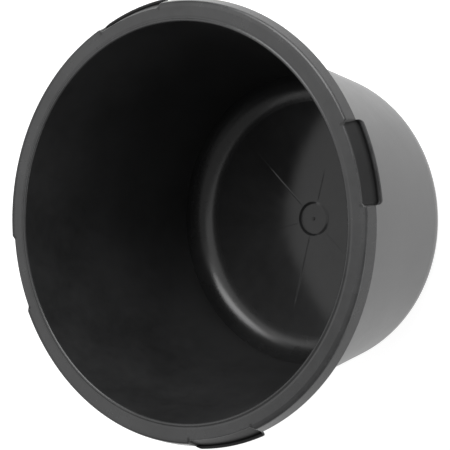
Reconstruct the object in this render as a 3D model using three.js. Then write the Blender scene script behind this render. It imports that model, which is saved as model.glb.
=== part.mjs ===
// Mortar mixing tub, 90 litre, one injection moulding in black recycled polyethylene.
// The moulding is modelled as its functional parts: floor, foot ring, corner, wall, rim, skirt and grips.
// Millimetres, +Z up. The origin is the centre of the resting plane, and the tub's axis is Z.

import * as THREE from 'three';
import { mergeGeometries, mergeVertices } from 'three/addons/utils/BufferGeometryUtils.js';

const degrees = THREE.MathUtils.degToRad;

// ---- Driving dimensions ----
const HEIGHT = 412;                // resting plane to the top of the rim
const RIM_RADIUS = 335;            // outer top edge of the rim
const MOUTH_RADIUS = 305.2;        // inner edge of the rim
const BASE_RADIUS = 248.2;         // the wall's outer face, carried down to the resting plane
const WALL_LEAN = degrees(8.35);
const WALL = 3;                    // thickness of the wall and the floor
const FOOT_DEPTH = 2;              // the floor's underside stands this far off the ground
const FOOT_WIDTH = 22;             // ring that the tub stands on
const FLOOR_RADIUS = 206;          // flat part of the floor
const CORNER_OUTER = 40;           // corner between base and wall, outside radius
const CORNER_INNER = 42;           // and inside radius

const PLATE = 3.4;                 // thickness of the rim's top face
const FACE_RADIUS = 326;           // the top face ends and the skirt or a grip starts
const BEAD = 0.4;                  // the bead at the mouth stands this far above the top face
const BEAD_ROUND = 3;
const GROOVE_RADIUS = 311.2;       // shallow groove beside the bead
const GROOVE_WIDTH = 5;
const GROOVE_DEPTH = 0.6;

const SKIRT_RADIUS = 342.4;        // lower outer edge of the skirt
const SKIRT_DROP = 21;             // that edge, below the top of the rim
const SKIRT_WALL = 3;
const EDGE_FALL = 0.6;             // the top face dips by this much towards its outer edge
const EDGE_ROUND = 4.5;

const GRIP_COUNT = 4;
const GRIP_ANGLE = 21;             // width of one grip, degrees
const GRIP_END_ANGLE = 0.5;        // thickness of the wall at each end of a grip, degrees
const GRIP_INSET = 4.5;            // how far a grip is let into the rim's outer edge
const SHOULDER_ROUND = 3;
const SCOOP_FOOT_RADIUS = 340.6;   // the grip's face slopes outwards from its shoulder to here, beside the lip
const LIP_RADIUS = 347.4;          // outer edge of the lip under a grip
const LIP_TOP_DROP = 24.9;         // the lip's top and bottom, below the top of the rim
const LIP_BOTTOM_DROP = 31;
const LIP_ROUND = 2.4;

const GATE_RADIUS = 31;            // disc round the moulding gate, in the middle of the floor
const GATE_RISE = 1;
const PIP_RADIUS = 3;
const PIP_RISE = 0.9;
const RIB_COUNT = 6;               // radial ribs under the floor
const RIB_WIDTH = 2;
const RIB_END_RADIUS = 96;
const RIB_CLEAR = 0.6;             // rib's lower edge off the ground

const GAP = 0.3;                   // hairline between neighbouring parts

// ---- Fineness of the facets ----
const RING_SEGMENTS = 120;
const GATE_SEGMENTS = 48;
const SKIRT_SEGMENTS = 22;
const GRIP_SEGMENTS = 6;
const CORNER_STEPS = 7;
const ROUND_STEPS = 2;

// ---- Derived sizes ----
const UP = Math.PI / 2;
const DOWN = -Math.PI / 2;
const INWARDS = Math.PI;
const OUTWARDS = 0;
const FLOOR_TOP = FOOT_DEPTH + WALL;
const SLOPE = Math.tan(WALL_LEAN);
const WALL_ACROSS = WALL / Math.cos(WALL_LEAN);  // wall thickness measured level
const FACE = HEIGHT - BEAD;
const UNDERFACE = FACE - PLATE;
const LIP_TOP = HEIGHT - LIP_TOP_DROP;
const LIP_BOTTOM = HEIGHT - LIP_BOTTOM_DROP;
const SKIRT_EDGE = HEIGHT - SKIRT_DROP;
const GRIP_STEP = 360 / GRIP_COUNT;
const GAP_ANGLE = THREE.MathUtils.radToDeg(GAP / RIM_RADIUS);

const wallOuter = (z) => BASE_RADIUS + SLOPE * z;
const wallInner = (z) => wallOuter(z) - WALL_ACROSS;

// ---- Finishes: the same plastic, moulded smooth inside and out and left duller at the grips ----
const INSIDE = { color: '#1d1e1f', roughness: 0.42 };
const OUTSIDE = { color: '#2a2b2c', roughness: 0.45 };
const GRIP_FINISH = { color: '#242526', roughness: 0.55 };

// ---- Geometry helpers ----
// Outlines are counter-clockwise lists of [radius, height].
const toPoints = (outline) => outline.map(([r, z]) => new THREE.Vector2(r, z));

function weld(geometry) {
  geometry.deleteAttribute('normal');
  geometry.deleteAttribute('uv');
  return mergeVertices(geometry, 1e-3);
}

// A full ring or disc about Z.
function ring(outline, segments = RING_SEGMENTS) {
  const isDisc = outline[0][0] === 0;
  const profile = isDisc ? outline : [...outline, outline[0]];
  const geometry = new THREE.LatheGeometry(toPoints(profile), segments);
  return weld(geometry.rotateX(UP));
}

function flipped(geometry) {
  const index = geometry.getIndex();
  for (let i = 0; i < index.count; i += 3) {
    const first = index.getX(i);
    index.setX(i, index.getX(i + 1));
    index.setX(i + 1, first);
  }
  return geometry;
}

// Part of a ring, from one azimuth to another in degrees, closed at both ends.
function sector(outline, fromAzimuth, toAzimuth, segments) {
  const start = degrees(fromAzimuth + 90);
  const sweep = degrees(toAzimuth - fromAzimuth);
  const skin = new THREE.LatheGeometry(toPoints([...outline, outline[0]]), segments, start, sweep);
  const shape = new THREE.Shape(toPoints(outline));
  const cap = (angle) => new THREE.ShapeGeometry(shape).rotateY(angle - UP);
  const body = mergeGeometries([skin, cap(start), flipped(cap(start + sweep))]);
  return weld(body.rotateX(UP));
}

// Points on an arc, from one direction to another in radians.
function arc(centre, radius, from, to, steps = ROUND_STEPS) {
  return Array.from({ length: steps + 1 }, (_, i) => {
    const angle = from + ((to - from) * i) / steps;
    return [centre[0] + radius * Math.cos(angle), centre[1] + radius * Math.sin(angle)];
  });
}

// Centre of a corner of this radius, tangent to a level and to a wall line given by its radius at z = 0.
function cornerCentre(wallAtZero, level, radius) {
  const z = level + radius;
  return [wallAtZero + (z * Math.sin(WALL_LEAN) - radius) / Math.cos(WALL_LEAN), z];
}

const tub = new THREE.Group();
tub.name = 'mortar_mixing_tub';

function add(name, geometry, finish) {
  const material = new THREE.MeshStandardMaterial({ ...finish, metalness: 0 });
  const mesh = new THREE.Mesh(geometry, material);
  mesh.name = name;
  tub.add(mesh);
  return mesh;
}

// ---- Floor ----
function buildFloor() {
  const panelStart = GATE_RADIUS + GAP;
  add('floor_panel', ring([
    [panelStart, FOOT_DEPTH], [FLOOR_RADIUS, FOOT_DEPTH], [FLOOR_RADIUS, FLOOR_TOP], [panelStart, FLOOR_TOP],
  ]), INSIDE);

  const footStart = FLOOR_RADIUS - FOOT_WIDTH;
  const footTop = FOOT_DEPTH - GAP;
  add('foot_ring', ring([
    [footStart, 0], [FLOOR_RADIUS, 0], [FLOOR_RADIUS, footTop], [footStart, footTop],
  ]), OUTSIDE);
}

// The gate disc is the floor pushed up a little, which leaves a well under it.
function buildGate() {
  const top = FLOOR_TOP + GATE_RISE;
  add('gate_disc', ring([
    [0, FOOT_DEPTH + GATE_RISE], [GATE_RADIUS, FOOT_DEPTH + GATE_RISE],
    [GATE_RADIUS, FLOOR_TOP], [GATE_RADIUS - GATE_RISE, top], [0, top],
  ], GATE_SEGMENTS), INSIDE);

  const pipBottom = top + GAP;
  const pipTop = pipBottom + PIP_RISE;
  add('gate_pip', ring([
    [0, pipBottom], [PIP_RADIUS, pipBottom], [PIP_RADIUS - PIP_RISE, pipTop], [0, pipTop],
  ], GATE_SEGMENTS / 2), INSIDE);
}

function buildRibs() {
  const start = GATE_RADIUS + GATE_RISE;
  const length = RIB_END_RADIUS - start;
  const height = FOOT_DEPTH - GAP - RIB_CLEAR;
  for (let i = 0; i < RIB_COUNT; i++) {
    const azimuth = ((i + 0.5) * 2 * Math.PI) / RIB_COUNT;
    const middle = start + length / 2;
    const rib = add(`floor_rib_${i + 1}`, new THREE.BoxGeometry(length, RIB_WIDTH, height), OUTSIDE);
    rib.position.set(middle * Math.cos(azimuth), middle * Math.sin(azimuth), RIB_CLEAR + height / 2);
    rib.rotation.z = azimuth;
  }
}

// ---- Corner and wall ----
function buildWall() {
  const outer = cornerCentre(BASE_RADIUS, 0, CORNER_OUTER);
  const inner = cornerCentre(BASE_RADIUS - WALL_ACROSS, FLOOR_TOP, CORNER_INNER);
  const outerArc = arc(outer, CORNER_OUTER, DOWN, -WALL_LEAN, CORNER_STEPS);
  const innerArc = arc(inner, CORNER_INNER, -WALL_LEAN, DOWN, CORNER_STEPS);
  const cornerStart = FLOOR_RADIUS + GAP;
  const cornerTop = innerArc[0][1];
  add('corner_ring', ring([
    [cornerStart, 0], ...outerArc, [wallOuter(cornerTop), cornerTop], ...innerArc, [cornerStart, FLOOR_TOP],
  ]), INSIDE);

  const foot = cornerTop + GAP;
  const top = UNDERFACE - GAP;
  add('side_wall', ring([
    [wallOuter(foot), foot], [wallOuter(top), top], [wallInner(top), top], [wallInner(foot), foot],
  ]), OUTSIDE);
}

// ---- Rim ----
// The rim's top face lies on the wall, with a bead round the mouth and a shallow groove beside it.
function buildRimRing() {
  const bead = arc([MOUTH_RADIUS + BEAD_ROUND, HEIGHT - BEAD_ROUND], BEAD_ROUND, UP, INWARDS);
  const halfGroove = GROOVE_WIDTH / 2;
  add('rim_ring', ring([
    [MOUTH_RADIUS, UNDERFACE], [FACE_RADIUS, UNDERFACE], [FACE_RADIUS, FACE],
    [GROOVE_RADIUS + halfGroove, FACE], [GROOVE_RADIUS, FACE - GROOVE_DEPTH],
    [GROOVE_RADIUS - halfGroove, FACE], ...bead,
  ]), OUTSIDE);
}

// Where the skirt or a grip meets the top face, and the skirt's outer side from its lower edge upwards.
const SPLIT = FACE_RADIUS + GAP;
const EDGE_CENTRE = [RIM_RADIUS - EDGE_ROUND / 3, FACE - EDGE_FALL - EDGE_ROUND];
const SKIRT_FACE = [[SKIRT_RADIUS, SKIRT_EDGE], ...arc(EDGE_CENTRE, EDGE_ROUND, OUTWARDS, UP), [SPLIT, FACE]];

// The rim's outer edge, turned down, between one grip and the next.
function buildSkirts() {
  const back = [
    [SPLIT, UNDERFACE], ...arc(EDGE_CENTRE, EDGE_ROUND - SKIRT_WALL, UP, OUTWARDS),
    [SKIRT_RADIUS - SKIRT_WALL, SKIRT_EDGE],
  ];
  const halfGrip = GRIP_ANGLE / 2 + GAP_ANGLE;
  for (let i = 0; i < GRIP_COUNT; i++) {
    const from = i * GRIP_STEP + halfGrip;
    const to = (i + 1) * GRIP_STEP - halfGrip;
    add(`rim_skirt_${i + 1}`, sector([...back, ...SKIRT_FACE], from, to, SKIRT_SEGMENTS), OUTSIDE);
  }
}

// ---- Grips: a scoop let into the rim, a lip under it for the fingers, and a wall at each end ----
function buildGrips() {
  const face = RIM_RADIUS - GRIP_INSET;
  const shoulderCentre = [face - SHOULDER_ROUND, FACE - SHOULDER_ROUND];
  const shoulder = arc(shoulderCentre, SHOULDER_ROUND, OUTWARDS, UP);

  // The face slopes from the shoulder to its foot at the height of the lip's top, and the back is parallel to it.
  const faceTop = FACE - SHOULDER_ROUND;
  const faceSlope = (SCOOP_FOOT_RADIUS - face) / (faceTop - LIP_TOP);
  const across = SKIRT_WALL * Math.hypot(1, faceSlope);
  const backAt = (z) => face + faceSlope * (faceTop - z) - across;
  const lipUnder = LIP_TOP - SKIRT_WALL;
  const backTop = UNDERFACE - GAP;
  const scoopBack = [[SPLIT, backTop], [backAt(backTop), backTop], [backAt(lipUnder), lipUnder]];
  const scoop = [
    ...scoopBack, [SCOOP_FOOT_RADIUS, lipUnder], [SCOOP_FOOT_RADIUS, LIP_TOP], ...shoulder, [SPLIT, FACE],
  ];

  const lipStart = SCOOP_FOOT_RADIUS + GAP;
  const lipInner = LIP_RADIUS - SKIRT_WALL;
  const lipOutside = [
    [lipInner, LIP_BOTTOM], [LIP_RADIUS, LIP_BOTTOM],
    ...arc([LIP_RADIUS - LIP_ROUND, LIP_TOP - LIP_ROUND], LIP_ROUND, OUTWARDS, UP),
  ];
  const lip = [[lipStart, lipUnder], [lipInner, lipUnder], ...lipOutside, [lipStart, LIP_TOP]];

  // The end wall closes the step from the scoop out to the skirt's face and down to the lip's edge.
  const end = [...scoopBack, [lipInner, lipUnder], ...lipOutside, ...SKIRT_FACE];

  const halfGrip = GRIP_ANGLE / 2;
  const halfScoop = halfGrip - GRIP_END_ANGLE - GAP_ANGLE;
  for (let i = 0; i < GRIP_COUNT; i++) {
    const middle = i * GRIP_STEP;
    const from = middle - halfScoop;
    const to = middle + halfScoop;
    const rightEnd = middle - halfGrip;
    const leftEnd = middle + halfGrip;
    add(`grip_scoop_${i + 1}`, sector(scoop, from, to, GRIP_SEGMENTS), GRIP_FINISH);
    add(`grip_lip_${i + 1}`, sector(lip, from, to, GRIP_SEGMENTS), GRIP_FINISH);
    add(`grip_end_${i + 1}_right`, sector(end, rightEnd, rightEnd + GRIP_END_ANGLE, 1), GRIP_FINISH);
    add(`grip_end_${i + 1}_left`, sector(end, leftEnd - GRIP_END_ANGLE, leftEnd, 1), GRIP_FINISH);
  }
}

buildFloor();
buildGate();
buildRibs();
buildWall();
buildRimRing();
buildSkirts();
buildGrips();

export default tub;
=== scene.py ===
"""Looks of the mortar mixing tub, a black recycled polyethylene moulding, on a pale studio floor.
Metres, +Z up."""

import math

import bpy
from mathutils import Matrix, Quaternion, Vector


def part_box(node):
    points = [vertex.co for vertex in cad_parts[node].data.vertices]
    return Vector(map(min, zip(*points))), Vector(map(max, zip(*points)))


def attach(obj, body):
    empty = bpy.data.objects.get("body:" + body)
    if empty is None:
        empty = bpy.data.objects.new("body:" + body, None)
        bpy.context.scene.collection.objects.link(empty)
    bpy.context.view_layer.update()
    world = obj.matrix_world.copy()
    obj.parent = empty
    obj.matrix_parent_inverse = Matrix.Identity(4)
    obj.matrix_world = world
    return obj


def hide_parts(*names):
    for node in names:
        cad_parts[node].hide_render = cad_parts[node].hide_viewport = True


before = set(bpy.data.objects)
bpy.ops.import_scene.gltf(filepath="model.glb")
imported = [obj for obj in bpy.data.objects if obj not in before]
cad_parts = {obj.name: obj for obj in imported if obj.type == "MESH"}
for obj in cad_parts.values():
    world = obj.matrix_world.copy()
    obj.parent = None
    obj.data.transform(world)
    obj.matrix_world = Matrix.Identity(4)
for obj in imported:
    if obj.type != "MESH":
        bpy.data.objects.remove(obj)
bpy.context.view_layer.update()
MM = 0.001


# ---- Sizes read from the CAD frame ----
wall_lo, wall_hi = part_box("side_wall")
_, corner_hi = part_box("corner_ring")
floor_lo, floor_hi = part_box("floor_panel")
foot_lo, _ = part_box("foot_ring")
_, gate_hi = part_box("gate_disc")
_, pip_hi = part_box("gate_pip")
rib_lo, rib_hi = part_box("floor_rib_2")
plate_lo, plate_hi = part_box("rim_ring")
skirt_lo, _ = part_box("rim_skirt_1")
lip_lo, lip_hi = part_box("grip_lip_1")

RIM_TOP = plate_hi.z
FACE_RADIUS = plate_hi.x
LIP_RADIUS = lip_hi.x
FLOOR_TOP = floor_hi.z
FLOOR_UNDER = floor_lo.z
FLOOR_RADIUS = floor_hi.x
GATE_RADIUS = gate_hi.x
GATE_TOP = gate_hi.z
RIB_END = rib_hi.y
RIB_BOTTOM = rib_lo.z
GRIP_COUNT = 4
GRIP_STEP = 360 / GRIP_COUNT       # degrees from one grip to the next
RIB_COUNT = 6
RIB_STEP = 360 / RIB_COUNT         # degrees from one rib to the next

# ---- Rim sizes that the frame's boxes don't give ----
WALL = 3 * MM
MOUTH_RADIUS = 305.2 * MM
BEAD_ROUND = 3 * MM
BEAD_RISE = 0.4 * MM
GROOVE_DEPTH = 0.45 * MM
SKIRT_RADIUS = 342.4 * MM
EDGE_SMOOTHING = 0.8 * MM          # every outer edge of the moulding is broken by about this much
GRIP_FACE_RADIUS = 330.5 * MM
SHOULDER_ROUND = 1.8 * MM
SHOULDER_DROP = 3 * MM             # the grip's sloping face passes through its radius at this depth
SCOOP_FOOT_RADIUS = 340.6 * MM
LIP_ROUND = 2.4 * MM
NECK_ROUND = 4.5 * MM              # fillet between the wall and the rim's underside
FACE = RIM_TOP - BEAD_RISE
UNDERFACE = plate_lo.z
SKIRT_EDGE = skirt_lo.z
LIP_TOP = lip_hi.z
LIP_BOTTOM = lip_lo.z

# ---- Wear and shade: 1 is a scuffed edge, 0 is clean, and below 0 is painted shade ----
PAINTED_SHADE = -0.8                       # painted shade in a crease and on the gate pip's top
END_WALL_PAINTED_SHADE = -0.9                   # painted shade on the end walls of a grip

# ---- Grip ends, degrees from the grip's middle ----
RECESS_END = 10.4                  # the scoop runs out here
RECESS_SPREAD_TOP = 0.75           # half the width of the run-out at the top edge
RECESS_SPREAD_LOW = 0.5            # and lower down, where the end is steeper
LIP_FULL = 9.4                     # the lip is at its full reach up to here
LIP_END = 10.55
END_INSIDE = 9.2                   # the end pieces cover this span
END_OUTSIDE = 11.6

# ---- Fineness ----
COARSE_STEP = 1.0                  # degrees
FINE_STEP = 0.1                    # degrees, at the grips' ends
SAME_ANGLE = 1e-6                  # azimuths closer than this are the same one
SHARP_DEGREES = 40                 # an edge that turns by more than this is shaded sharp


# ---- Profile helpers: an outline is a counter-clockwise list of (radius, height, wear and painted shade) ----
def along(a, b, share):
    """The point that lies a share of the way from a to b."""
    return (a[0] + (b[0] - a[0]) * share, a[1] + (b[1] - a[1]) * share)


def line(a, b, count, wear_and_shade=0.0):
    """count points from a up to, and without, b."""
    return [along(a, b, i / count) + (wear_and_shade,) for i in range(count)]


def arc(centre, radius, start, end, count, wear_and_shade=0.0):
    """count + 1 points on an arc, angles in degrees."""
    points = []
    for i in range(count + 1):
        angle = math.radians(start + (end - start) * i / count)
        points.append((centre[0] + radius * math.cos(angle), centre[1] + radius * math.sin(angle), wear_and_shade))
    return points


def fillet(before, corner, after, radius, count, wear_and_shade=0.0):
    """count + 1 points that round the corner between two straight lines, with the wear and painted shade
    strongest in the middle.
    """
    to_before = Vector((before[0] - corner[0], before[1] - corner[1])).normalized()
    to_after = Vector((after[0] - corner[0], after[1] - corner[1])).normalized()
    half = to_before.angle(to_after) / 2
    bisector = (to_before + to_after).normalized()
    centre = Vector(corner[:2]) + bisector * (radius / math.sin(half))
    first = Vector(corner[:2]) + to_before * (radius / math.tan(half)) - centre
    last = Vector(corner[:2]) + to_after * (radius / math.tan(half)) - centre
    sweep = first.angle_signed(last)
    points = []
    for i in range(count + 1):
        turn = -sweep * i / count
        c, s = math.cos(turn), math.sin(turn)
        x, y = first.x * c - first.y * s, first.x * s + first.y * c
        points.append((centre.x + x, centre.y + y, wear_and_shade * math.sin(math.pi * (i + 0.5) / (count + 1))))
    return points


def smoothstep(t):
    t = min(1.0, max(0.0, t))
    return t * t * (3 - 2 * t)


# ---- One list of azimuths for the whole moulding, so that neighbouring pieces share their edges ----
def azimuth_list():
    angles = set()
    for i in range(round(360 / COARSE_STEP)):
        angles.add(round(i * COARSE_STEP, 3))
    for grip in range(GRIP_COUNT):
        for side in (-1, 1):
            for i in range(round((END_OUTSIDE - END_INSIDE) / FINE_STEP) + 1):
                offset = END_INSIDE + i * FINE_STEP
                angles.add(round((grip * GRIP_STEP + side * offset) % 360, 3))
    return sorted(angles)


AZIMUTHS = azimuth_list()


def azimuths_between(start, end):
    """Azimuths from start to end in degrees, both included. start may be below zero."""
    turned_round = (a + turn for turn in (-360, 0, 360) for a in AZIMUTHS)
    return sorted(set(round(a, 3) for a in turned_round if start - SAME_ANGLE <= a <= end + SAME_ANGLE))


def grip_offset(azimuth):
    """Degrees from the middle of the nearest grip."""
    return abs((azimuth + GRIP_STEP / 2) % GRIP_STEP - GRIP_STEP / 2)


# ---- Mesh building ----
def polar(radius, height, azimuth):
    angle = math.radians(azimuth)
    return (radius * math.cos(angle), radius * math.sin(angle), height)


def in_hollow(point):
    """Whether a point lies in a grip's hollow, below the shoulder and between the end walls."""
    azimuth = math.degrees(math.atan2(point.y, point.x))
    return grip_offset(azimuth) < RECESS_END and point.z < FACE - SHOULDER_ROUND


def make_piece(name, nodes, mesh_data, material, shaded_hollow_material=None):
    """One visible piece. With a second material, its faces inside a grip's hollow have that one instead, a
    darker copy of the plastic that is painted shade.
    """
    vertices, faces, wear_and_shade = mesh_data
    mesh = bpy.data.meshes.new(name)
    mesh.from_pydata(vertices, [], faces)
    attribute = mesh.attributes.new("wear_and_shade", "FLOAT", "POINT")
    attribute.data.foreach_set("value", wear_and_shade)
    mesh.polygons.foreach_set("use_smooth", [True] * len(mesh.polygons))
    mesh.set_sharp_from_angle(angle=math.radians(SHARP_DEGREES))
    mesh.materials.append(material)
    if shaded_hollow_material:
        mesh.materials.append(shaded_hollow_material)
        for face in mesh.polygons:
            face.material_index = int(in_hollow(face.center))
    piece = bpy.data.objects.new(name, mesh)
    bpy.context.scene.collection.objects.link(piece)
    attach(piece, "root")
    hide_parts(*nodes)


def swept(outline_at, azimuths, closed):
    """A section swept about Z: a full ring when closed, or else part of one with a flat end at each side."""
    outlines = [outline_at(a) for a in azimuths]
    count, steps = len(outlines[0]), len(azimuths)
    vertices = [polar(r, z, a) for a, outline in zip(azimuths, outlines) for r, z, _ in outline]
    wear_and_shade = [w for outline in outlines for _, _, w in outline]
    faces = []
    for i in range(steps if closed else steps - 1):
        here, there = i * count, ((i + 1) % steps) * count
        for j in range(count):
            k = (j + 1) % count
            faces.append((here + j, there + j, there + k, here + k))
    if not closed:
        last = (steps - 1) * count
        faces.append(tuple(range(count)))
        faces.append(tuple(last + j for j in range(count))[::-1])
    return vertices, faces, wear_and_shade


def turned(outline, azimuths):
    """A solid of revolution. The outline starts and ends on the axis."""
    inner, steps = len(outline) - 2, len(azimuths)
    vertices = [(0, 0, outline[0][1]), (0, 0, outline[-1][1])]
    wear_and_shade = [outline[0][2], outline[-1][2]]
    for a in azimuths:
        vertices += [polar(r, z, a) for r, z, _ in outline[1:-1]]
        wear_and_shade += [w for _, _, w in outline[1:-1]]
    faces = []
    for i in range(steps):
        here, there = 2 + i * inner, 2 + ((i + 1) % steps) * inner
        faces.append((0, there, here))
        for j in range(inner - 1):
            faces.append((here + j, there + j, there + j + 1, here + j + 1))
        faces.append((here + inner - 1, there + inner - 1, 1))
    return vertices, faces, wear_and_shade


# ---- Finish: recycled polyethylene ----
class Nodes:
    """Short calls for building a node tree."""

    def __init__(self, tree):
        self.tree = tree

    def add(self, kind, inputs=(), **settings):
        node = self.tree.nodes.new(kind)
        for key, value in settings.items():
            setattr(node, key, value)
        for key, value in dict(inputs).items():
            if isinstance(value, bpy.types.NodeSocket):
                self.tree.links.new(value, node.inputs[key])
            else:
                node.inputs[key].default_value = value
        return node

    def math(self, operation, a, b=0.0, clamp=False):
        node = self.add("ShaderNodeMath", {0: a, 1: b}, operation=operation)
        node.use_clamp = clamp
        return node.outputs[0]

    def plus(self, a, b):
        return self.math("ADD", a, b)

    def times(self, a, b):
        return self.math("MULTIPLY", a, b)

    def swing(self, noise, amount):
        """A noise scaled about zero, so that it both adds and takes away."""
        return self.times(self.math("SUBTRACT", noise, 0.5), amount)

    def ramp(self, value, low, high):
        """A smooth rise from 0 to 1 as value goes from low to high."""
        node = self.add("ShaderNodeMapRange", {0: value, 1: low, 2: high}, interpolation_type="SMOOTHSTEP")
        return node.outputs[0]

    def noise(self, vector, scale, detail, roughness):
        node = self.add("ShaderNodeTexNoise", {"Vector": vector, "Scale": scale, "Detail": detail,
                                               "Roughness": roughness})
        return node.outputs[0]

    def vector(self, x, y, z):
        return self.add("ShaderNodeCombineXYZ", {0: x, 1: y, 2: z}).outputs[0]


DRAG_AROUND, DRAG_ALONG = 34.0, 3.0    # drag marks: how often they change around the tub, and down the wall
RAY_AROUND, RAY_ALONG = 9.0, 5.0       # flow marks: the same around the gate, and outwards from it
PATCH_SHARE = 0.7                      # how much of the scuffing comes in patches
SCUFF_LIGHTENS, SCUFF_ROUGHENS = 0.03, 0.12
# painted shade: how much darker and rougher the plastic is where the wear value is below 0
PAINTED_SHADE_DARKENS, PAINTED_SHADE_ROUGHENS = 0.8, 0.25
VARIATION_ROUGHENS = 0.10
GREEN_TINT, BLUE_TINT = 1.01, 1.03     # the black is very slightly cool
LINE_RELIEF = 3.0                      # drag and flow marks stand out this much more than the fine texture
BUMP_DEPTH = 0.6 * MM
POLYETHYLENE_IOR = 1.5


def plastic(name, shade, roughness, specular=0.5, grain=0.10, streaks=0.0, scuffs=0.5, flow=0.0):
    """Black recycled polyethylene. shade is its grey, grain its fine texture, streaks the drag marks down the
    wall, flow the radial flow marks on the floor, and scuffs how much lighter its worn edges are."""
    material = bpy.data.materials.new(name)
    material.use_nodes = True
    tree = material.node_tree
    tree.nodes.clear()
    n = Nodes(tree)
    position = n.add("ShaderNodeTexCoord").outputs["Object"]
    x, y, z = n.add("ShaderNodeSeparateXYZ", {0: position}).outputs
    radius = n.math("SQRT", n.plus(n.times(x, x), n.times(y, y)))
    safe_radius = n.math("MAXIMUM", radius, 1 * MM)
    east, north = n.math("DIVIDE", x, safe_radius), n.math("DIVIDE", y, safe_radius)

    clouds = n.noise(position, scale=7.0, detail=4.0, roughness=0.55)
    mottle = n.noise(position, scale=60.0, detail=4.0, roughness=0.6)
    fine = n.noise(position, scale=900.0, detail=2.0, roughness=0.6)
    down_wall = n.vector(n.times(east, DRAG_AROUND), n.times(north, DRAG_AROUND), n.times(z, DRAG_ALONG))
    drag = n.noise(down_wall, scale=1.0, detail=4.0, roughness=0.6)
    outwards = n.vector(n.times(east, RAY_AROUND), n.times(north, RAY_AROUND), n.times(radius, RAY_ALONG))
    rays = n.noise(outwards, scale=1.0, detail=3.0, roughness=0.5)

    wear_and_shade = n.add("ShaderNodeAttribute", attribute_name="wear_and_shade").outputs["Fac"]
    patches = n.ramp(n.noise(position, scale=38.0, detail=5.0, roughness=0.65), 0.40, 0.62)
    patchy = n.plus(n.times(patches, PATCH_SHARE), 1 - PATCH_SHARE)
    worn = n.times(n.times(n.math("MAXIMUM", wear_and_shade, 0.0), scuffs), patchy)
    # painted shade: the wear value below 0 marks creases, grip end walls and the pip, which are darkened
    painted_shade_mask = n.math("MAXIMUM", n.times(wear_and_shade, -1.0), 0.0)

    variation = n.plus(n.swing(clouds, 1.2), n.swing(mottle, 0.5))
    variation = n.plus(variation, n.swing(drag, streaks))
    variation = n.plus(variation, n.swing(rays, flow))

    base = n.times(n.plus(variation, 1.0), shade)
    base = n.plus(base, n.times(worn, SCUFF_LIGHTENS))
    # the painted shade darkens the colour here
    base = n.times(base, n.math("SUBTRACT", 1.0, n.times(painted_shade_mask, PAINTED_SHADE_DARKENS)))
    green, blue = n.times(base, GREEN_TINT), n.times(base, BLUE_TINT)
    colour = n.add("ShaderNodeCombineColor", {0: base, 1: green, 2: blue}).outputs[0]

    rough = n.plus(n.times(variation, VARIATION_ROUGHENS), roughness)
    rough = n.plus(rough, n.times(worn, SCUFF_ROUGHENS))
    rough = n.math("ADD", rough, n.times(painted_shade_mask, PAINTED_SHADE_ROUGHENS), clamp=True)

    height = n.plus(n.times(fine, 0.6), n.times(mottle, 0.8))
    height = n.plus(height, n.times(drag, streaks * LINE_RELIEF))
    height = n.plus(height, n.times(rays, flow * LINE_RELIEF))
    bump = n.add("ShaderNodeBump", {"Height": height, "Strength": grain, "Distance": BUMP_DEPTH}).outputs[0]

    shader = n.add("ShaderNodeBsdfPrincipled", {"Base Color": colour, "Roughness": rough, "Normal": bump,
                                                "Specular IOR Level": specular, "IOR": POLYETHYLENE_IOR})
    tree.links.new(shader.outputs[0], n.add("ShaderNodeOutputMaterial").inputs[0])
    return material


CORNER = plastic("plastic_corner", shade=0.015, roughness=0.25)
FLOOR = plastic("plastic_floor", shade=0.018, roughness=0.11, specular=0.34, grain=0.05, flow=0.2)
OUTSIDE = plastic("plastic_outside", shade=0.02, roughness=0.34, streaks=0.10)
RIM = plastic("plastic_rim", shade=0.024, roughness=0.26, scuffs=0.8)
# painted shade: a darker, less shiny copy of the rim's plastic for the faces inside the grips' hollows
HOLLOW_PAINTED_SHADE = plastic("plastic_hollow_painted_shade", shade=0.012, roughness=0.42, specular=0.2, scuffs=0.8)

# ---- Wall and corner ----
SLOPE = (wall_hi.x - corner_hi.x) / (wall_hi.z - corner_hi.z)
LEAN = math.degrees(math.atan(SLOPE))
WALL_ACROSS = WALL / math.cos(math.radians(LEAN))
CORNER_OUTER = 40 * MM
CORNER_INNER = 42 * MM


def wall_outer(z):
    return corner_hi.x + SLOPE * (z - corner_hi.z)


def wall_inner(z):
    return wall_outer(z) - WALL_ACROSS


def corner_centre(wall_at_zero, level, radius):
    """The centre of the rounding between the leaning wall and a flat at a level."""
    z = level + radius
    lean = math.radians(LEAN)
    return (wall_at_zero + (z * math.sin(lean) - radius) / math.cos(lean), z)


def wall_outline():
    bottom, top = wall_lo.z, UNDERFACE
    below_neck = top - 2 * NECK_ROUND
    neck = (wall_outer(top), top)
    out_along = (FACE_RADIUS, top)
    below = (wall_outer(bottom), bottom)
    outline = line((wall_inner(bottom), bottom), below, count=1)
    outline += line(below, (wall_outer(below_neck), below_neck), count=12)
    outline += fillet(below, neck, out_along, NECK_ROUND, count=6)
    outline += line((wall_inner(top), top), (wall_inner(bottom), bottom), count=12)
    return outline


def corner_outline():
    outer = corner_centre(wall_outer(0), foot_lo.z, CORNER_OUTER)
    inner = corner_centre(wall_inner(0), FLOOR_TOP, CORNER_INNER)
    top = wall_lo.z
    outline = [(FLOOR_RADIUS, foot_lo.z, 0.0)]
    outline += arc(outer, CORNER_OUTER, -90, -LEAN, count=20, wear_and_shade=0.3)
    outline += [(wall_outer(top), top, 0.0), (wall_inner(top), top, 0.0)]
    outline += arc(inner, CORNER_INNER, -LEAN, -90, count=24)
    outline += [(FLOOR_RADIUS, FLOOR_TOP, 0.0)]
    return outline


wall, corner = wall_outline(), corner_outline()
make_piece("side_wall_shell", ["side_wall"], swept(lambda a: wall, AZIMUTHS, True), OUTSIDE)
make_piece("corner_shell", ["corner_ring"], swept(lambda a: corner, AZIMUTHS, True), CORNER)

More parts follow.
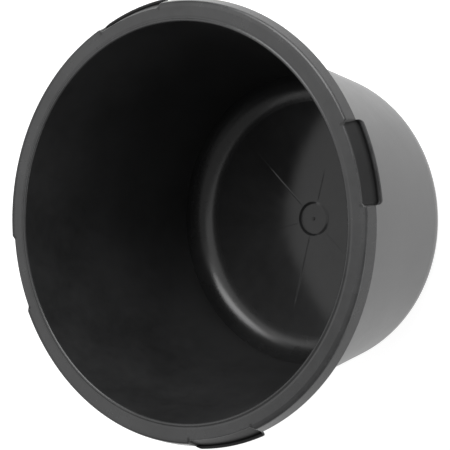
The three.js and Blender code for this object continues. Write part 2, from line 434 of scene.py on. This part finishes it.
# ---- Floor ----
RIDGE_RISE = 0.10 * MM             # the ribs underneath show on the floor as faint ridges
RIDGE_SPREAD = 0.9 * MM
RIDGE_START = 3 * MM               # each ridge rises over this length beside the gate disc
RIDGE_FADE = 0.2                   # and fades out over this share of its reach
RIDGE_STEP = 0.2                   # degrees between the floor's azimuths beside a ridge
RIDGE_STEPS = 10
SWELL_RISE = 0.40 * MM             # between two of the ribs the floor has warped upwards a little
SWELL_RADIUS = 95 * MM
SWELL_MIDDLE = 270                 # degrees
SWELL_HALF = 60
SWELL_SIDE = 1.5                   # degrees over which its sides rise
FLOOR_RINGS = 40


def rib_azimuth(rib):
    return (rib + 0.5) * RIB_STEP


def floor_azimuths():
    """The shared azimuths, with closer ones beside each rib."""
    angles = set(AZIMUTHS)
    for rib in range(RIB_COUNT):
        for step in range(-RIDGE_STEPS, RIDGE_STEPS + 1):
            angles.add(round((rib_azimuth(rib) + step * RIDGE_STEP) % 360, 3))
    return sorted(angles)


def rib_offset(azimuth):
    """Degrees from the nearest rib."""
    return abs((azimuth % RIB_STEP) - RIB_STEP / 2)


def swell(azimuth, radius):
    off = abs((azimuth - SWELL_MIDDLE + 180) % 360 - 180)
    inside = smoothstep((SWELL_HALF - off) / SWELL_SIDE + 0.5)
    climb = smoothstep((radius - GATE_RADIUS) / (SWELL_RADIUS - GATE_RADIUS))
    fall = smoothstep((FLOOR_RADIUS - radius) / (FLOOR_RADIUS - SWELL_RADIUS))
    return SWELL_RISE * inside * climb * fall


def ridge(azimuth, radius):
    across = radius * math.radians(rib_offset(azimuth))
    start = smoothstep((radius - GATE_RADIUS) / RIDGE_START)
    end = smoothstep((RIB_END - radius) / (RIB_END * RIDGE_FADE))
    return RIDGE_RISE * end * start * math.exp(-((across / RIDGE_SPREAD) ** 2))


def floor_outline(azimuth):
    outline = [(GATE_RADIUS, FLOOR_UNDER, 0.0), (FLOOR_RADIUS, FLOOR_UNDER, 0.0)]
    for i in range(FLOOR_RINGS + 1):
        radius = FLOOR_RADIUS + (GATE_RADIUS - FLOOR_RADIUS) * i / FLOOR_RINGS
        outline.append((radius, FLOOR_TOP + ridge(azimuth, radius) + swell(azimuth, radius), 0.0))
    return outline


make_piece("floor_plate", ["floor_panel"], swept(floor_outline, floor_azimuths(), True), FLOOR)

# ---- Foot ----
FOOT_WIDTH = 22 * MM


def foot_outline():
    inner, bottom = FLOOR_RADIUS - FOOT_WIDTH, foot_lo.z
    outline = [(inner, FLOOR_UNDER, 0.0)]
    outline += fillet((inner, FLOOR_UNDER), (inner, bottom), (FLOOR_RADIUS, bottom), EDGE_SMOOTHING,
                      count=4, wear_and_shade=1.0)
    outline += [(FLOOR_RADIUS, bottom, 0.0), (FLOOR_RADIUS, FLOOR_UNDER, 0.0)]
    return outline


foot = foot_outline()
make_piece("foot_band", ["foot_ring"], swept(lambda a: foot, AZIMUTHS, True), OUTSIDE)

# ---- Gate disc and pip ----
GATE_EDGE = 6.0 * MM               # the disc's edge rises over this width
GATE_EDGE_STEPS = 8
GATE_FLAT = GATE_RADIUS * 0.6
PIP_TAPER = 0.9                    # the pip's top is this much narrower than its foot
PIP_ROUND = 0.6 * MM
PIP_DISH = 0.5 * MM                # the middle of the pip's top is lower by this


def gate_outline():
    rise = GATE_TOP - FLOOR_TOP
    well = FLOOR_UNDER + rise
    outline = [(0, well, 0.0), (GATE_FLAT, well, 0.0), (GATE_RADIUS, well, 0.0)]
    outline += [(GATE_RADIUS, FLOOR_TOP, 0.0)]
    for step in range(1, GATE_EDGE_STEPS + 1):
        share = step / GATE_EDGE_STEPS
        outline.append((GATE_RADIUS - GATE_EDGE * share, FLOOR_TOP + rise * smoothstep(share), 0.2))
    outline += [(GATE_FLAT, GATE_TOP, 0.0), (0, GATE_TOP, 0.0)]
    return outline


def pip_outline():
    foot_radius, top = pip_hi.x, pip_hi.z
    outline = [(0, GATE_TOP, 0.0), (foot_radius, GATE_TOP, 0.0)]
    # painted shade: the pip's rounded top and its dish are darkened
    outline += fillet((foot_radius, GATE_TOP), (foot_radius * PIP_TAPER, top), (0, top), PIP_ROUND,
                      count=5, wear_and_shade=PAINTED_SHADE)
    outline += [(0, top - PIP_DISH, PAINTED_SHADE)]
    return outline


make_piece("gate_plate", ["gate_disc"], turned(gate_outline(), AZIMUTHS[::2]), FLOOR)
make_piece("gate_nub", ["gate_pip"], turned(pip_outline(), AZIMUTHS[::6]), FLOOR)

# ---- Rim ----
BEAD_CREST = 308.2 * MM
BEAD_STEPS = 12
BEAD_WEAR = 0.1
GROOVE_BOTTOM = 311.4 * MM
GROOVE_END = 314.4 * MM
RIM_STEPS = 36


def rim_height(radius):
    """The rim's top face outside the bead's crest: a shallow groove, then the flat."""
    bottom = FACE - GROOVE_DEPTH
    if radius <= GROOVE_BOTTOM:
        return RIM_TOP + (bottom - RIM_TOP) * smoothstep((radius - BEAD_CREST) / (GROOVE_BOTTOM - BEAD_CREST))
    return bottom + (FACE - bottom) * smoothstep((radius - GROOVE_BOTTOM) / (GROOVE_END - GROOVE_BOTTOM))


def rim_outline():
    bead_centre = (MOUTH_RADIUS + BEAD_ROUND, RIM_TOP - BEAD_ROUND)
    outline = [(wall_inner(UNDERFACE), UNDERFACE, 0.0), (FACE_RADIUS, UNDERFACE, 0.0)]
    for i in range(RIM_STEPS):
        radius = FACE_RADIUS + (BEAD_CREST - FACE_RADIUS) * i / RIM_STEPS
        outline.append((radius, rim_height(radius), 0.0))
    for i, (r, z, _) in enumerate(arc(bead_centre, BEAD_ROUND, 90, 180, BEAD_STEPS)):
        outline.append((r, z, BEAD_WEAR * math.sin(math.pi * i / BEAD_STEPS)))
    return outline


rim = rim_outline()
make_piece("rim_plate", ["rim_ring"], swept(lambda a: rim, AZIMUTHS, True), RIM)

# ---- The rim's outer edge: plain skirt or grip, as two outlines with matching points ----
FOLD_RADIUS = 328.6 * MM           # the top face turns down a little here
FOLD_ROUND = 2.5 * MM
BROW = (336.4 * MM, FACE - 0.9 * MM)
BROW_ROUND = 5.0 * MM
ARMPIT_ROUND = 2.0 * MM            # fillet behind the skirt, under the top face
ARMPIT_MARGIN = 2.5 * MM           # the flat under the top face ends this far before it
FACE_STEPS = 14
# Stretches of the skirt, as shares of the way down its back and up its outside, with the points in each.
SKIRT_BACK = ((0.15, 0.75, FACE_STEPS), (0.75, 0.93, 5))
SKIRT_OUTSIDE = ((0.08, 0.12, 3), (0.12, 0.18, 6), (0.18, 0.24, 3), (0.24, 0.65, FACE_STEPS),
                 (0.65, 0.80, 6))
SEAM_STEP = 0.6 * MM               # the first points beside the rim's plate are this close to it
HOLLOW_SHARE = 0.55                # share of a grip's outward slope that comes only near its foot
TROUGH = 1.3 * MM                  # the crease at the foot of a grip's face is this far below the lip's top
CREASE_STEPS = 5                   # points of the sloping face over which the painted shade in the crease fades
SHOULDER_START = 1.9 * MM          # the sloping face ends this far below the top face
BACK_ROUND = 0.4 * MM              # small roundings behind the scoop and the lip
BACK_START = 1 * MM                # the back of the scoop starts this far below the plate's underside
LIP_BACK_DROP = 0.6 * MM
LIP_SIDE_START = 1.2 * MM          # the lip's upright side starts this far above its edge
LIP_MARGIN = 0.2 * MM              # its flats stop this far short of their roundings
LIP_CLEARANCE = 0.02 * MM          # keeps the round lip inside the faceted CAD one
RAIL_EDGE = (0.25 * MM, 0.35 * MM)     # the point below the lip's inner edge lies this far in and down


def skirt_outline():
    start, top = (FACE_RADIUS, UNDERFACE), (FACE_RADIUS, FACE)
    fold, armpit = (FOLD_RADIUS, FACE), (BROW[0] - WALL, UNDERFACE)
    toe, heel = (SKIRT_RADIUS, SKIRT_EDGE), (SKIRT_RADIUS - WALL, SKIRT_EDGE)
    outline = line(start, (armpit[0] - ARMPIT_MARGIN, UNDERFACE), count=3)
    outline += fillet(start, armpit, heel, ARMPIT_ROUND, count=4)
    for first, last, count in SKIRT_BACK:
        outline += line(along(armpit, heel, first), along(armpit, heel, last), count)
    outline += fillet(armpit, heel, toe, EDGE_SMOOTHING, count=3, wear_and_shade=0.7)
    outline += fillet(heel, toe, BROW, EDGE_SMOOTHING, count=5, wear_and_shade=1.0)
    for first, last, count in SKIRT_OUTSIDE:
        outline += line(along(toe, BROW, first), along(toe, BROW, last), count)
    outline += fillet(toe, BROW, fold, BROW_ROUND, count=7, wear_and_shade=0.3)
    outline += fillet(BROW, fold, top, FOLD_ROUND, count=4, wear_and_shade=0.2)
    outline += line((FACE_RADIUS + SEAM_STEP, FACE), top, count=2) + [top + (0.0,)]
    return outline


def grip_outline():
    """The outline, with the places in it where the lip starts and where the scoop's face starts."""
    start, top = (FACE_RADIUS, UNDERFACE), (FACE_RADIUS, FACE)
    run, rise = SCOOP_FOOT_RADIUS - GRIP_FACE_RADIUS, FACE - SHOULDER_DROP - LIP_TOP
    across = WALL * math.hypot(1, run / rise)

    def face_at(z):
        t = (FACE - SHOULDER_DROP - z) / rise
        return (GRIP_FACE_RADIUS + run * ((1 - HOLLOW_SHARE) * t + HOLLOW_SHARE * t * max(t, 0)), z)

    def back_at(z):
        return (face_at(z)[0] - across, z)

    lip_out = LIP_RADIUS - LIP_CLEARANCE
    lip_in, lip_under = lip_out - WALL, LIP_TOP - WALL
    toe, heel, brow = (lip_out, LIP_BOTTOM), (lip_in, LIP_BOTTOM), (lip_out, LIP_TOP)
    crease, shoulder = face_at(LIP_TOP - TROUGH), face_at(FACE)
    rail = (crease[0] + TROUGH, LIP_TOP)
    back_foot, seam = back_at(lip_under), (FACE_RADIUS + SEAM_STEP, FACE)

    outline = line(start, (FACE_RADIUS + SEAM_STEP, UNDERFACE), count=3)
    outline += fillet(start, back_at(UNDERFACE), back_foot, BACK_ROUND, count=4)
    outline += line(back_at(UNDERFACE - BACK_START), back_foot, FACE_STEPS)
    lip_first = len(outline)
    outline += line((back_foot[0] + BACK_ROUND, lip_under), (lip_in, lip_under - LIP_BACK_DROP), count=5)
    outline += fillet((lip_in, lip_under), heel, toe, EDGE_SMOOTHING, count=3, wear_and_shade=0.7)
    outline += fillet(heel, toe, brow, EDGE_SMOOTHING, count=5, wear_and_shade=1.0)
    outline += line((lip_out, LIP_BOTTOM + LIP_SIDE_START), (lip_out, LIP_TOP - LIP_ROUND - LIP_MARGIN),
                    count=3, wear_and_shade=0.2)
    outline += fillet(toe, brow, rail, LIP_ROUND, count=5, wear_and_shade=0.9)
    outline += line((lip_out - LIP_ROUND - LIP_MARGIN / 2, LIP_TOP), (rail[0] + LIP_MARGIN, LIP_TOP),
                    count=2, wear_and_shade=0.1)
    # painted shade at the edge of the crease, half as dark
    outline += [(rail[0] - RAIL_EDGE[0], LIP_TOP - RAIL_EDGE[1], PAINTED_SHADE / 2)]
    lip_last = len(outline)
    face = line(crease, face_at(FACE - SHOULDER_DROP), FACE_STEPS)
    # painted shade in the crease, fading out up the sloping face
    outline += [(r, z, PAINTED_SHADE * max(0.0, 1 - i / CREASE_STEPS)) for i, (r, z, _) in enumerate(face)]
    outline += line(face_at(FACE - SHOULDER_DROP), face_at(FACE - SHOULDER_START), count=6)
    outline += fillet(crease, shoulder, top, SHOULDER_ROUND, count=7, wear_and_shade=0.8)
    outline += line(along(shoulder, top, 0.5), seam, count=5)
    outline += line(seam, top, count=2) + [top + (0.0,)]
    return outline, lip_first, lip_last


SKIRT = skirt_outline()
GRIP_SECTION, LIP_FIRST, LIP_LAST = grip_outline()


def edge_outline(azimuth):
    """The rim's edge at an azimuth: a grip, the plain skirt, or the run-out between them."""
    offset = grip_offset(azimuth)
    if offset <= END_INSIDE + SAME_ANGLE:
        return GRIP_SECTION
    if offset >= END_OUTSIDE - SAME_ANGLE:
        return SKIRT
    across = min(1.0, max(0.0, (offset - LIP_FULL) / (LIP_END - LIP_FULL)))
    lip_share = math.sqrt(1 - across * across)
    outline = []
    for i, (plain, grip) in enumerate(zip(SKIRT, GRIP_SECTION)):
        share = lip_share
        if not LIP_FIRST <= i < LIP_LAST:
            climb = smoothstep((grip[1] - LIP_TOP) / (FACE - LIP_TOP))
            spread = RECESS_SPREAD_LOW + (RECESS_SPREAD_TOP - RECESS_SPREAD_LOW) * climb
            share = 1 - smoothstep((offset - RECESS_END + spread) / (2 * spread))
        r, z, wear_and_shade = (p + (g - p) * share for p, g in zip(plain, grip))
        # painted shade on the grip's end walls, darkest halfway through the run-out
        outline.append((r, z, wear_and_shade + END_WALL_PAINTED_SHADE * 4 * share * (1 - share)))
    return outline


def scoop_outline(azimuth):
    section = edge_outline(azimuth)
    return section[:LIP_FIRST] + section[LIP_LAST:]


def lip_outline(azimuth):
    return edge_outline(azimuth)[LIP_FIRST - 1:LIP_LAST + 1]


def make_rim_edge(grip):
    """One grip, and the plain skirt between it and the next."""
    middle, number = grip * GRIP_STEP, grip + 1
    plain = azimuths_between(middle + END_OUTSIDE, middle + GRIP_STEP - END_OUTSIDE)
    inside = azimuths_between(middle - END_INSIDE, middle + END_INSIDE)
    right = azimuths_between(middle - END_OUTSIDE, middle - END_INSIDE)
    left = azimuths_between(middle + END_INSIDE, middle + END_OUTSIDE)
    make_piece(f"skirt_{number}_band", [f"rim_skirt_{number}"], swept(edge_outline, plain, False), RIM)
    for piece, node, outline_at, azimuths in (
        ("scoop", f"grip_scoop_{number}", scoop_outline, inside),
        ("lip", f"grip_lip_{number}", lip_outline, inside),
        ("end_right", f"grip_end_{number}_right", edge_outline, right),
        ("end_left", f"grip_end_{number}_left", edge_outline, left),
    ):
        # the faces inside each grip's hollow get the painted-shade copy of the plastic
        make_piece(f"grip_{number}_{piece}", [node], swept(outline_at, azimuths, False), RIM, HOLLOW_PAINTED_SHADE)


for grip_index in range(GRIP_COUNT):
    make_rim_edge(grip_index)

# ---- Ribs under the floor ----
RIB_START = GATE_RADIUS + 1 * MM
RIB_STATIONS = 30
RIB_HALF_WIDTH = 1.0 * MM
RIB_DRAFT = 0.2 * MM
RIB_ROUND = 0.3 * MM
RIB_ROUND_SHARE = 0.4              # where a rib is low, its rounding is this share of its depth
RIB_RAMP = 6 * MM                  # each rib runs out over this length at its outer end
RIB_END_DEPTH = 0.2                # down to this share of its depth


def rib_section(radius):
    depth = FLOOR_UNDER - RIB_BOTTOM
    depth *= RIB_END_DEPTH + (1 - RIB_END_DEPTH) * smoothstep((RIB_END - radius) / RIB_RAMP)
    bottom, low = FLOOR_UNDER - depth, RIB_HALF_WIDTH - RIB_DRAFT
    rounding = min(RIB_ROUND, depth * RIB_ROUND_SHARE)
    left, right, middle = (-RIB_HALF_WIDTH, FLOOR_UNDER), (RIB_HALF_WIDTH, FLOOR_UNDER), (0, bottom)
    section = [left + (0.0,)]
    section += fillet(left, (-low, bottom), middle, rounding, count=3, wear_and_shade=0.8)
    section += fillet(middle, (low, bottom), right, rounding, count=3, wear_and_shade=0.8)
    section += [right + (0.0,)]
    return section


def rib_mesh(azimuth):
    """A low rib with drafted sides and rounded lower edges, along one radius."""
    angle = math.radians(azimuth)
    outwards = Vector((math.cos(angle), math.sin(angle), 0))
    side = Vector((-math.sin(angle), math.cos(angle), 0))
    vertices, faces, wear_and_shade = [], [], []
    for i in range(RIB_STATIONS + 1):
        radius = RIB_START + (RIB_END - RIB_START) * i / RIB_STATIONS
        section = rib_section(radius)
        for across, z, _ in section:
            vertices.append(tuple(outwards * radius + side * across + Vector((0, 0, z))))
        wear_and_shade += [w for _, _, w in section]
    count = len(section)
    for i in range(RIB_STATIONS):
        for j in range(count):
            k = (j + 1) % count
            faces.append((i * count + j, i * count + k, (i + 1) * count + k, (i + 1) * count + j))
    faces.append(tuple(range(count))[::-1])
    faces.append(tuple(RIB_STATIONS * count + j for j in range(count)))
    return vertices, faces, wear_and_shade


for rib_index in range(RIB_COUNT):
    make_piece(f"rib_{rib_index + 1}_blade", [f"floor_rib_{rib_index + 1}"], rib_mesh(rib_azimuth(rib_index)),
               OUTSIDE)

# ---- Stage: a pale studio floor ----
STAGE_HALF = 8.0
STAGE_DROP = 0.1 * MM
STAGE_GREY = 0.5
STAGE_GLOW = 0.85
STAGE_ROUGHNESS = 0.9
STAGE_SPECULAR = 0.1


def make_studio_floor():
    mesh = bpy.data.meshes.new("studio_floor")
    corners = [(-1, -1), (1, -1), (1, 1), (-1, 1)]
    mesh.from_pydata([(a * STAGE_HALF, b * STAGE_HALF, -STAGE_DROP) for a, b in corners], [], [(0, 1, 2, 3)])
    floor = bpy.data.objects.new("studio_floor", mesh)
    bpy.context.scene.collection.objects.link(floor)
    material = bpy.data.materials.new("studio_floor")
    material.use_nodes = True
    shader = material.node_tree.nodes["Principled BSDF"]
    shader.inputs["Base Color"].default_value = (STAGE_GREY, STAGE_GREY, STAGE_GREY, 1)
    shader.inputs["Roughness"].default_value = STAGE_ROUGHNESS
    shader.inputs["Specular IOR Level"].default_value = STAGE_SPECULAR
    shader.inputs["Emission Color"].default_value = (1, 1, 1, 1)
    shader.inputs["Emission Strength"].default_value = STAGE_GLOW
    mesh.materials.append(material)


make_studio_floor()


# ---- Light: a pale room and a few large soft lights ----
def direction(azimuth, elevation):
    """The unit vector towards an azimuth and an elevation in degrees."""
    a, e = math.radians(azimuth), math.radians(elevation)
    return Vector((math.cos(a) * math.cos(e), math.sin(a) * math.cos(e), math.sin(e)))


ROOM = 0.36
TARGET = Vector((0, 0, RIM_TOP / 2))
LIGHT_DISTANCE = 3.0
# Each light: azimuth and elevation in degrees, width and height in metres, and strength in watts.
LIGHTS = {
    "key": (156, 47, 2.2, 1.5, 62),
    "key_low": (150, 23, 3.2, 1.0, 30),
    "side": (50, 12, 2.2, 1.1, 19),
    "overhead": (180, 74, 2.4, 2.4, 15),
    "far": (250, 50, 3.8, 1.6, 19),
}


def make_light(name, azimuth, elevation, width, height, watts):
    data = bpy.data.lights.new(name, "AREA")
    data.shape, data.size, data.size_y = "RECTANGLE", width, height
    data.energy = watts
    light = bpy.data.objects.new(name, data)
    bpy.context.scene.collection.objects.link(light)
    light.location = TARGET + direction(azimuth, elevation) * LIGHT_DISTANCE
    light.rotation_mode = "QUATERNION"
    light.rotation_quaternion = (TARGET - light.location).to_track_quat("-Z", "Y")


for light_name, light_values in LIGHTS.items():
    make_light(light_name, *light_values)

world = bpy.data.worlds.new("room")
bpy.context.scene.world = world
world.use_nodes = True
world.node_tree.nodes["Background"].inputs["Color"].default_value = (1, 1, 1, 1)
world.node_tree.nodes["Background"].inputs["Strength"].default_value = ROOM

# ---- Camera: above and beside the tub, turned on its side ----
AIM = Vector((0.0273, 0.0927, RIM_TOP))
DISTANCE = 2.169
AZIMUTH = 77.0
ELEVATION = 54.8
ROLL = -91.9
LENS = 117.0
SENSOR_WIDTH = 36

camera_data = bpy.data.cameras.new("camera")
camera_data.sensor_width = SENSOR_WIDTH
camera_data.lens = LENS
camera = bpy.data.objects.new("camera", camera_data)
bpy.context.scene.collection.objects.link(camera)
back = direction(AZIMUTH, ELEVATION)
camera.location = AIM + back * DISTANCE
camera.rotation_mode = "QUATERNION"
camera.rotation_quaternion = (-back).to_track_quat("-Z", "Y") @ Quaternion((0, 0, 1), math.radians(ROLL))
bpy.context.scene.camera = camera

bpy.context.scene.view_settings.view_transform = "Standard"
bpy.context.scene.view_settings.look = "None"

bpy.context.view_layer.update()
